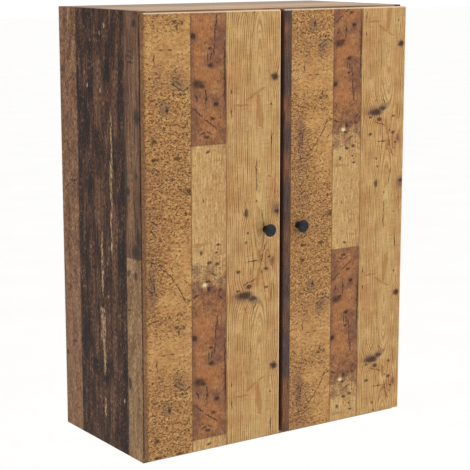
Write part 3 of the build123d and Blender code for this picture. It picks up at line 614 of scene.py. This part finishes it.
# Streaks on the carcass boards, as (across, half width, start along, end along)
BLACK_BANDS = [
    (0.088, 0.014, -0.05, 0.20), (0.096, 0.020, 0.18, 0.45), (0.120, 0.010, 0.50, 0.60),
    (0.083, 0.008, 0.44, 0.60), (0.103, 0.027, 0.60, 0.73), (0.131, 0.011, 0.72, 0.84),
    (0.120, 0.018, 0.85, 1.00), (0.078, 0.006, 0.72, 0.80), (0.249, 0.014, -0.05, 0.62),
    (0.252, 0.010, 0.66, 0.80), (0.215, 0.014, 0.58, 0.620), (0.155, 0.012, 0.60, 0.635),
    (0.176, 0.014, 0.13, 0.150), (0.193, 0.014, 0.165, 0.185), (0.128, 0.022, 0.14, 0.175),
    (0.200, 0.010, 0.76, 0.84),
]
CREAM_BANDS = [
    (0.168, 0.010, 0.222, 0.290), (0.172, 0.0050, 0.150, 0.235), (0.168, 0.0035, 0.320, 0.450),
    (0.212, 0.0035, 0.500, 0.700), (0.210, 0.0050, 0.520, 0.600), (0.209, 0.0030, 0.410, 0.500),
    (0.172, 0.0030, 0.060, 0.100),
]
TAN_BANDS = [
    (0.287, 0.008, 0.47, 0.66), (0.298, 0.004, 0.60, 0.80), (0.288, 0.010, 0.18, 0.28),
    (0.306, 0.010, 0.02, 0.20), (0.160, 0.016, 0.66, 0.80), (0.160, 0.020, 0.46, 0.56),
    (0.225, 0.008, 0.30, 0.50), (0.228, 0.010, 0.66, 0.78), (0.215, 0.007, 0.16, 0.46),
    (0.130, 0.006, 0.22, 0.36), (0.204, 0.010, 0.04, 0.14),
]
SIDE_HOLES = [
    (0.276, 0.382, 0.0060, 0.0080), (0.303, 0.382, 0.0055, 0.0070), (0.308, 0.430, 0.0160, 0.0160),
    (0.316, 0.456, 0.0080, 0.0200), (0.314, 0.698, 0.0090, 0.0150), (0.306, 0.876, 0.0080, 0.0080),
    (0.309, 0.582, 0.0040, 0.0060), (0.276, 0.547, 0.0080, 0.0080), (0.276, 0.155, 0.0060, 0.0140),
    (0.008, 0.160, 0.0050, 0.0060), (0.277, 0.308, 0.0060, 0.0020),
]
SIDE_CRACKS = [
    ((0.064, 0.852), (0.073, 0.828)), ((0.070, 0.799), (0.116, 0.803)),
    ((0.036, 0.742), (0.060, 0.770)), ((0.014, 0.520), (0.036, 0.538)),
    ((0.030, 0.540), (0.066, 0.545)), ((0.020, 0.300), (0.034, 0.312)),
    ((0.028, 0.190), (0.052, 0.194)), ((0.040, 0.215), (0.062, 0.206)),
    ((0.275, 0.800), (0.308, 0.800)), ((0.275, 0.812), (0.306, 0.810)),
    ((0.276, 0.824), (0.304, 0.822)), ((0.272, 0.690), (0.272, 0.460)),
]
SIDE_CHIPS = [
    (0.190, 0.867, 0.0020, 0.0040), (0.173, 0.853, 0.0016, 0.0036), (0.119, 0.747, 0.0016, 0.0044),
    (0.169, 0.738, 0.0014, 0.0040), (0.208, 0.428, 0.0022, 0.0070), (0.172, 0.367, 0.0018, 0.0050),
    (0.190, 0.317, 0.0016, 0.0034), (0.253, 0.112, 0.0026, 0.0034),
]

# Where the boards in the sides' print meet, from the back, and the height where the front one changes
WEATHERED_EDGES = (0.073, 0.267)
STRIP_CUT = 0.414

# Where the boards in the top's, bottom's and shelves' print meet, from the back
TOP_EDGES = (0.130, 0.262)


def band_mask(graph, across, along, bands):
    """Streaks that run along the grain between two heights."""
    mask = 0.0
    for centre, half_width, start, end in bands:
        middle, half_length = (start + end) / 2, (end - start) / 2
        beside = graph.near(across, centre, half_width * 1.3, half_width * 0.6)
        between = graph.near(along, middle, half_length * 1.15, half_length * 0.85)
        mask = graph.maximum(mask, graph.mul(beside, between))
    return mask


def weathered_print(graph, across, along, shift=0.0):
    """Dark old boards for the uprights: a brown board, a black-streaked one and a paler strip."""
    flat = graph.combine(across, along, shift)
    rough = warped(graph, warped(graph, flat, 26.0, 0.012), 260.0, 0.006)
    parts = graph.node("ShaderNodeSeparateXYZ", {0: rough}).outputs
    moved, moved_along = parts["X"], parts["Y"]
    chips = graph.noise(graph.vector("MULTIPLY", flat, (300.0, 120.0, 1.0)), 1.0, 4.0, 0.72)
    coarse = graph.noise(graph.vector("MULTIPLY", flat, (60.0, 16.0, 1.0)), 1.0, 4.0, 0.62)
    fibre = streaks(graph, moved, along, 420, 14, 31.0 + shift, 5.0, 0.65)
    both = graph.add(graph.mul(chips, 0.62), graph.mul(coarse, 0.38))
    brown = graph.tones(
        both, (0.38, 58, 34, 22), (0.46, 114, 78, 54), (0.54, 150, 110, 78), (0.62, 190, 150, 116))
    brown = tint(graph, brown, graph.step(along, 0.42, 0.2), 0.22, (172, 130, 96))
    brown = tint(graph, brown, scribbles(graph, rough, 95.0, 0.60, 0.035), 0.65, (66, 40, 28))
    dark = graph.tones(
        both, (0.40, 22, 13, 10), (0.47, 60, 36, 26), (0.55, 96, 62, 44), (0.63, 160, 122, 92))
    dark = tint(graph, dark, graph.step(fibre, 0.47, 0.34), 0.6, (26, 17, 15))
    light = graph.mul(band_mask(graph, moved, moved_along, TAN_BANDS), graph.step(chips, 0.38, 0.60))
    dark = tint(graph, dark, light, 0.6, (146, 104, 74))
    lines = streaks(graph, moved, along, 190, 7, 37.0 + shift, 3.0, 0.6)
    dark = tint(graph, dark, graph.step(lines, 0.49, 0.38), 0.55, (22, 14, 12))
    dark = tint(graph, dark, graph.step(lines, 0.57, 0.68), 0.35, (156, 116, 86))
    black = band_mask(graph, moved, moved_along, BLACK_BANDS)
    black = graph.mul(black, graph.step(both, 0.64, 0.44))
    dark = tint(graph, dark, black, 0.74, (17, 12, 12))
    cream = band_mask(graph, moved, moved_along, CREAM_BANDS)
    threads = streaks(graph, moved, along, 420, 60, 51.0 + shift, 3.0, 0.6)
    cream = graph.mul(cream, graph.step(graph.add(threads, chips), 0.86, 1.14))
    dark = tint(graph, dark, cream, 0.9, (208, 172, 126))
    cut = graph.add(along, graph.mul(graph.sub(across, WEATHERED_EDGES[1]), -0.03))
    fibrous = graph.add(graph.mul(fibre, 0.6), graph.mul(both, 0.4))
    upper = graph.tones(fibrous, (0.38, 48, 28, 20), (0.48, 104, 72, 52), (0.6, 150, 112, 84))
    upper = tint(graph, upper, light, 0.5, (176, 138, 96))
    upper = tint(graph, upper, graph.step(lines, 0.50, 0.40), 0.5, (58, 34, 26))
    upper = tint(graph, upper, graph.step(lines, 0.55, 0.64), 0.4, (178, 138, 104))
    lower = graph.tones(both, (0.38, 90, 62, 40), (0.5, 146, 112, 76), (0.62, 190, 158, 116))
    lower = tint(graph, lower, graph.step(fibre, 0.46, 0.34), 0.4, (110, 80, 58))
    strip = graph.mix(graph.step(cut, STRIP_CUT + 0.0010, STRIP_CUT - 0.0010), upper, lower)
    first, second = WEATHERED_EDGES
    colour = graph.mix(graph.step(moved, first - 0.001, first + 0.001), brown, dark)
    wavering = graph.add(graph.mul(across, 0.7), graph.mul(moved, 0.3))
    colour = graph.mix(graph.step(wavering, second - 0.0006, second + 0.0006), colour, strip)
    joint = 0.0
    for edge in WEATHERED_EDGES:
        joint = graph.maximum(joint, graph.near(across, edge, *SIDE_JOINT))
    colour = tint(graph, colour, joint, 0.55, (34, 24, 22))
    pits = marks(graph, rough, SIDE_HOLES, 0.5)
    dents = graph.maximum(pits, cracks(graph, rough, SIDE_CRACKS, CRACK_WIDTHS["side"]))
    colour = tint(graph, colour, dents, 0.8, (32, 26, 24))
    colour = tint(graph, colour, marks(graph, rough, SIDE_CHIPS, 0.5), 0.62, (226, 204, 170))
    return colour, graph.sub(both, graph.mul(dents, 0.5))


def make_carcass_material(name, grain_axis, shift):
    """A carcass board. Grain runs up the upright boards and across the level ones."""
    material, graph, principled = new_material(name, 0.5, **BOARD_GLOSS)
    x, y, z = object_position(graph)
    from_back = graph.sub(0.0, y)
    if grain_axis == "z":
        colour, relief = weathered_print(graph, from_back, graph.sub(z, BOTTOM), shift)
    else:
        colour, relief = level_print(graph, from_back, graph.sub(x, LEFT_EDGE), shift)
    gloss = graph.add(0.44, graph.mul(relief, 0.16))
    finish_material(graph, principled, colour, gloss, relief, *CARCASS_RELIEF)
    return material


def level_print(graph, across, along, shift):
    """Greyed and pinkish boards for the top, bottom and shelves."""
    fibre = streaks(graph, across, along, 420, 9, 41.0 + shift, 4.0, 0.6)
    broad = streaks(graph, across, along, 30, 3, 43.0 + shift, 2.0)
    grey = graph.tones(fibre, (0.3, 112, 88, 64), (0.55, 156, 128, 96), (0.8, 184, 156, 120))
    pink = graph.tones(fibre, (0.3, 142, 108, 78), (0.55, 186, 150, 112), (0.8, 210, 176, 136))
    colour = graph.mix(graph.step(across, TOP_EDGES[0] - 0.002, TOP_EDGES[0] + 0.002), grey, pink)
    colour = tint(graph, colour, graph.step(broad, 0.55, 0.4), 0.35, (104, 78, 62))
    joint = 0.0
    for edge in TOP_EDGES:
        joint = graph.maximum(joint, graph.near(across, edge, *TOP_JOINT))
    colour = tint(graph, colour, joint, 0.7, (70, 48, 38))
    return colour, fibre


def make_plain_board(name, low, high, fine=300.0, along=20.0, roughness=0.6):
    """A board or dowel with only fine fibres."""
    material, graph, principled = new_material(name, roughness, **BOARD_GLOSS)
    x, y, z = object_position(graph)
    place = graph.combine(graph.mul(x, along), graph.mul(y, fine), graph.mul(z, fine))
    fibre = graph.noise(place, 1.0, 4.0)
    colour = graph.tones(fibre, (0.3, *low), (0.7, *high))
    gloss = graph.add(roughness - 0.08, graph.mul(fibre, 0.16))
    finish_material(graph, principled, colour, gloss, fibre, *PLAIN_RELIEF)
    return material


def make_knob_material():
    """Black powder coat: a fine orange-peel grain and slightly worn, smoother high spots."""
    material, graph, principled = new_material("knob_black", 0.5, **{"Specular IOR Level": 0.3})
    x, y, z = object_position(graph)
    grain = graph.noise(graph.combine(x, y, z), 1400.0, 3.0, 0.6)
    broad = graph.noise(graph.combine(x, y, z), 120.0, 3.0)
    colour = graph.tones(broad, (0.3, 14, 17, 22), (0.7, 30, 36, 44))
    gloss = graph.add(0.36, graph.mul(broad, 0.22))
    finish_material(graph, principled, colour, gloss, grain, *KNOB_RELIEF)
    return material


def make_metal(name, low, high, roughness, brushed=900.0):
    """Plated steel or zinc: a brushed grain, with duller patches."""
    material, graph, principled = new_material(name, roughness, Metallic=1.0)
    x, y, z = object_position(graph)
    grain = graph.noise(graph.combine(graph.mul(x, 90), graph.mul(y, 90), graph.mul(z, brushed)), 1.0, 3.0)
    patch = graph.noise(graph.combine(x, y, z), 160.0, 3.0)
    colour = graph.tones(patch, (0.3, *low), (0.7, *high))
    gloss = graph.add(roughness - 0.08, graph.mul(graph.add(grain, patch), 0.09))
    finish_material(graph, principled, colour, gloss, grain, *METAL_RELIEF)
    return material


def make_plastic(name, low, high, roughness, **shader):
    """Moulded plastic or silicone with a faint mottle."""
    material, graph, principled = new_material(name, roughness, **shader)
    x, y, z = object_position(graph)
    mottle = graph.noise(graph.combine(x, y, z), 500.0, 3.0)
    colour = graph.tones(mottle, (0.3, *low), (0.7, *high))
    gloss = graph.add(roughness - 0.06, graph.mul(mottle, 0.12))
    finish_material(graph, principled, colour, gloss, mottle, *PLASTIC_RELIEF)
    return material


def dress(material, *names):
    """Gives one material to some CAD nodes."""
    for name in names:
        node = bpy.data.objects[name]
        node.data.materials.clear()
        node.data.materials.append(material)


def dress_all():
    """Every CAD node gets its material."""
    names = sorted(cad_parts)
    steel = make_metal("hinge_steel", (168, 168, 166), (196, 196, 192), 0.32)
    nickel = make_metal("fitting_nickel", (158, 156, 150), (190, 188, 180), 0.3)
    zinc = make_metal("cam_zinc", (140, 142, 146), (168, 170, 174), 0.42)
    buffer = make_plastic("buffer_clear", (196, 196, 190), (218, 218, 212), 0.3)
    for name in names:
        if "hinge" in name or "mounting_plate" in name:
            dress(steel, name)
        if name.endswith(("screws", "screw", "pins", "bolts")):
            dress(nickel, name)
        if "buffers" in name:
            dress(buffer, name)
    dress(zinc, "cam_locks")
    dress(make_plastic("cap_brown", (66, 46, 34), (84, 60, 44), 0.5), "cam_caps")
    dress(make_plain_board("dowel_beech", (176, 140, 96), (204, 170, 122)), "dowels")
    dress(make_plain_board("board_plain", (108, 80, 58), (138, 104, 76)), "wall_fixing_rail")
    dress(make_plain_board("back_board", (120, 90, 66), (146, 114, 84), 160.0, 12.0), "back_panel")
    dress(make_door_material("left"), "left_door_panel")
    dress(make_door_material("right"), "right_door_panel")
    dress(make_carcass_material("left_side_print", "z", 0.0), "left_side_panel")
    dress(make_carcass_material("right_side_print", "z", 4.0), "right_side_panel")
    dress(make_carcass_material("top_print", "x", 0.0), "top_panel")
    dress(make_carcass_material("bottom_print", "x", 6.0), "bottom_panel")
    dress(make_carcass_material("shelf_print", "x", 9.0), "lower_shelf", "upper_shelf")
    knob = make_knob_material()
    dress(knob, "left_knob", "right_knob")


def make_floor():
    """A plain pale floor, well below the hanging cabinet."""
    bpy.ops.mesh.primitive_plane_add(size=FLOOR_SIZE, location=(0, 0, CAD_LOW.z - FLOOR_DROP))
    floor = bpy.context.object
    floor.name = "studio_floor"
    material, graph, principled = new_material("studio_floor", 0.9)
    x, y, z = object_position(graph)
    shade = graph.noise(graph.combine(x, y, z), 2.0, 2.0)
    colour = graph.ramp(shade, [(0.3, (0.93, 0.93, 0.925, 1)), (0.7, (0.95, 0.95, 0.945, 1))])
    finish_material(graph, principled, colour)
    floor.data.materials.append(material)


def make_world():
    """Soft studio light: bright overhead, dimmer in front and on the left, even where seen directly."""
    world = bpy.data.worlds.new("studio")
    bpy.context.scene.world = world
    world.use_nodes = True
    graph = Graph(world.node_tree)
    direction = graph.node("ShaderNodeTexCoord").outputs["Generated"]
    parts = graph.node("ShaderNodeSeparateXYZ", {0: direction}).outputs
    overhead = graph.step(parts["Z"], 0.1, 0.9)
    left = graph.step(parts["X"], 0.1, -0.8)
    front = graph.step(parts["Y"], 0.2, -0.5)
    dimmed = graph.add(graph.mul(left, LEFT_DIMMING), graph.mul(front, FRONT_DIMMING))
    strength = graph.sub(graph.add(SURROUND, graph.mul(overhead, OVERHEAD_EXTRA)), dimmed)
    background = world.node_tree.nodes["Background"]
    background.inputs["Color"].default_value = SURROUND_COLOUR
    seen = graph.node("ShaderNodeLightPath").outputs["Is Camera Ray"]
    strength = graph.node("ShaderNodeMix", {0: seen, 2: strength, 3: SURROUND}).outputs[0]
    graph.put(background.inputs["Strength"], strength)


def make_lights():
    """A large soft key light at the front right."""
    data = bpy.data.lights.new("key", "AREA")
    data.energy = KEY_POWER
    data.size = KEY_SIZE
    data.color = KEY_COLOUR
    key = bpy.data.objects.new("key", data)
    key.location = KEY_PLACE
    aim = Vector(KEY_AIM) - key.location
    key.rotation_euler = aim.to_track_quat("-Z", "Y").to_euler()
    bpy.context.scene.collection.objects.link(key)


def make_camera():
    """The camera at the left front, a little above the cabinet's top."""
    data = bpy.data.cameras.new("camera")
    data.lens = CAMERA_LENS
    data.sensor_width = SENSOR_WIDTH
    data.clip_end = FARTHEST_SEEN
    camera = bpy.data.objects.new("camera", data)
    camera.location = CAMERA_PLACE
    camera.rotation_euler = (math.radians(90 - CAMERA_TILT), 0.0, math.radians(-CAMERA_TURN))
    bpy.context.scene.collection.objects.link(camera)
    bpy.context.scene.camera = camera


dress_all()
make_floor()
make_world()
make_lights()
make_camera()
bpy.context.scene.view_settings.view_transform = "Standard"
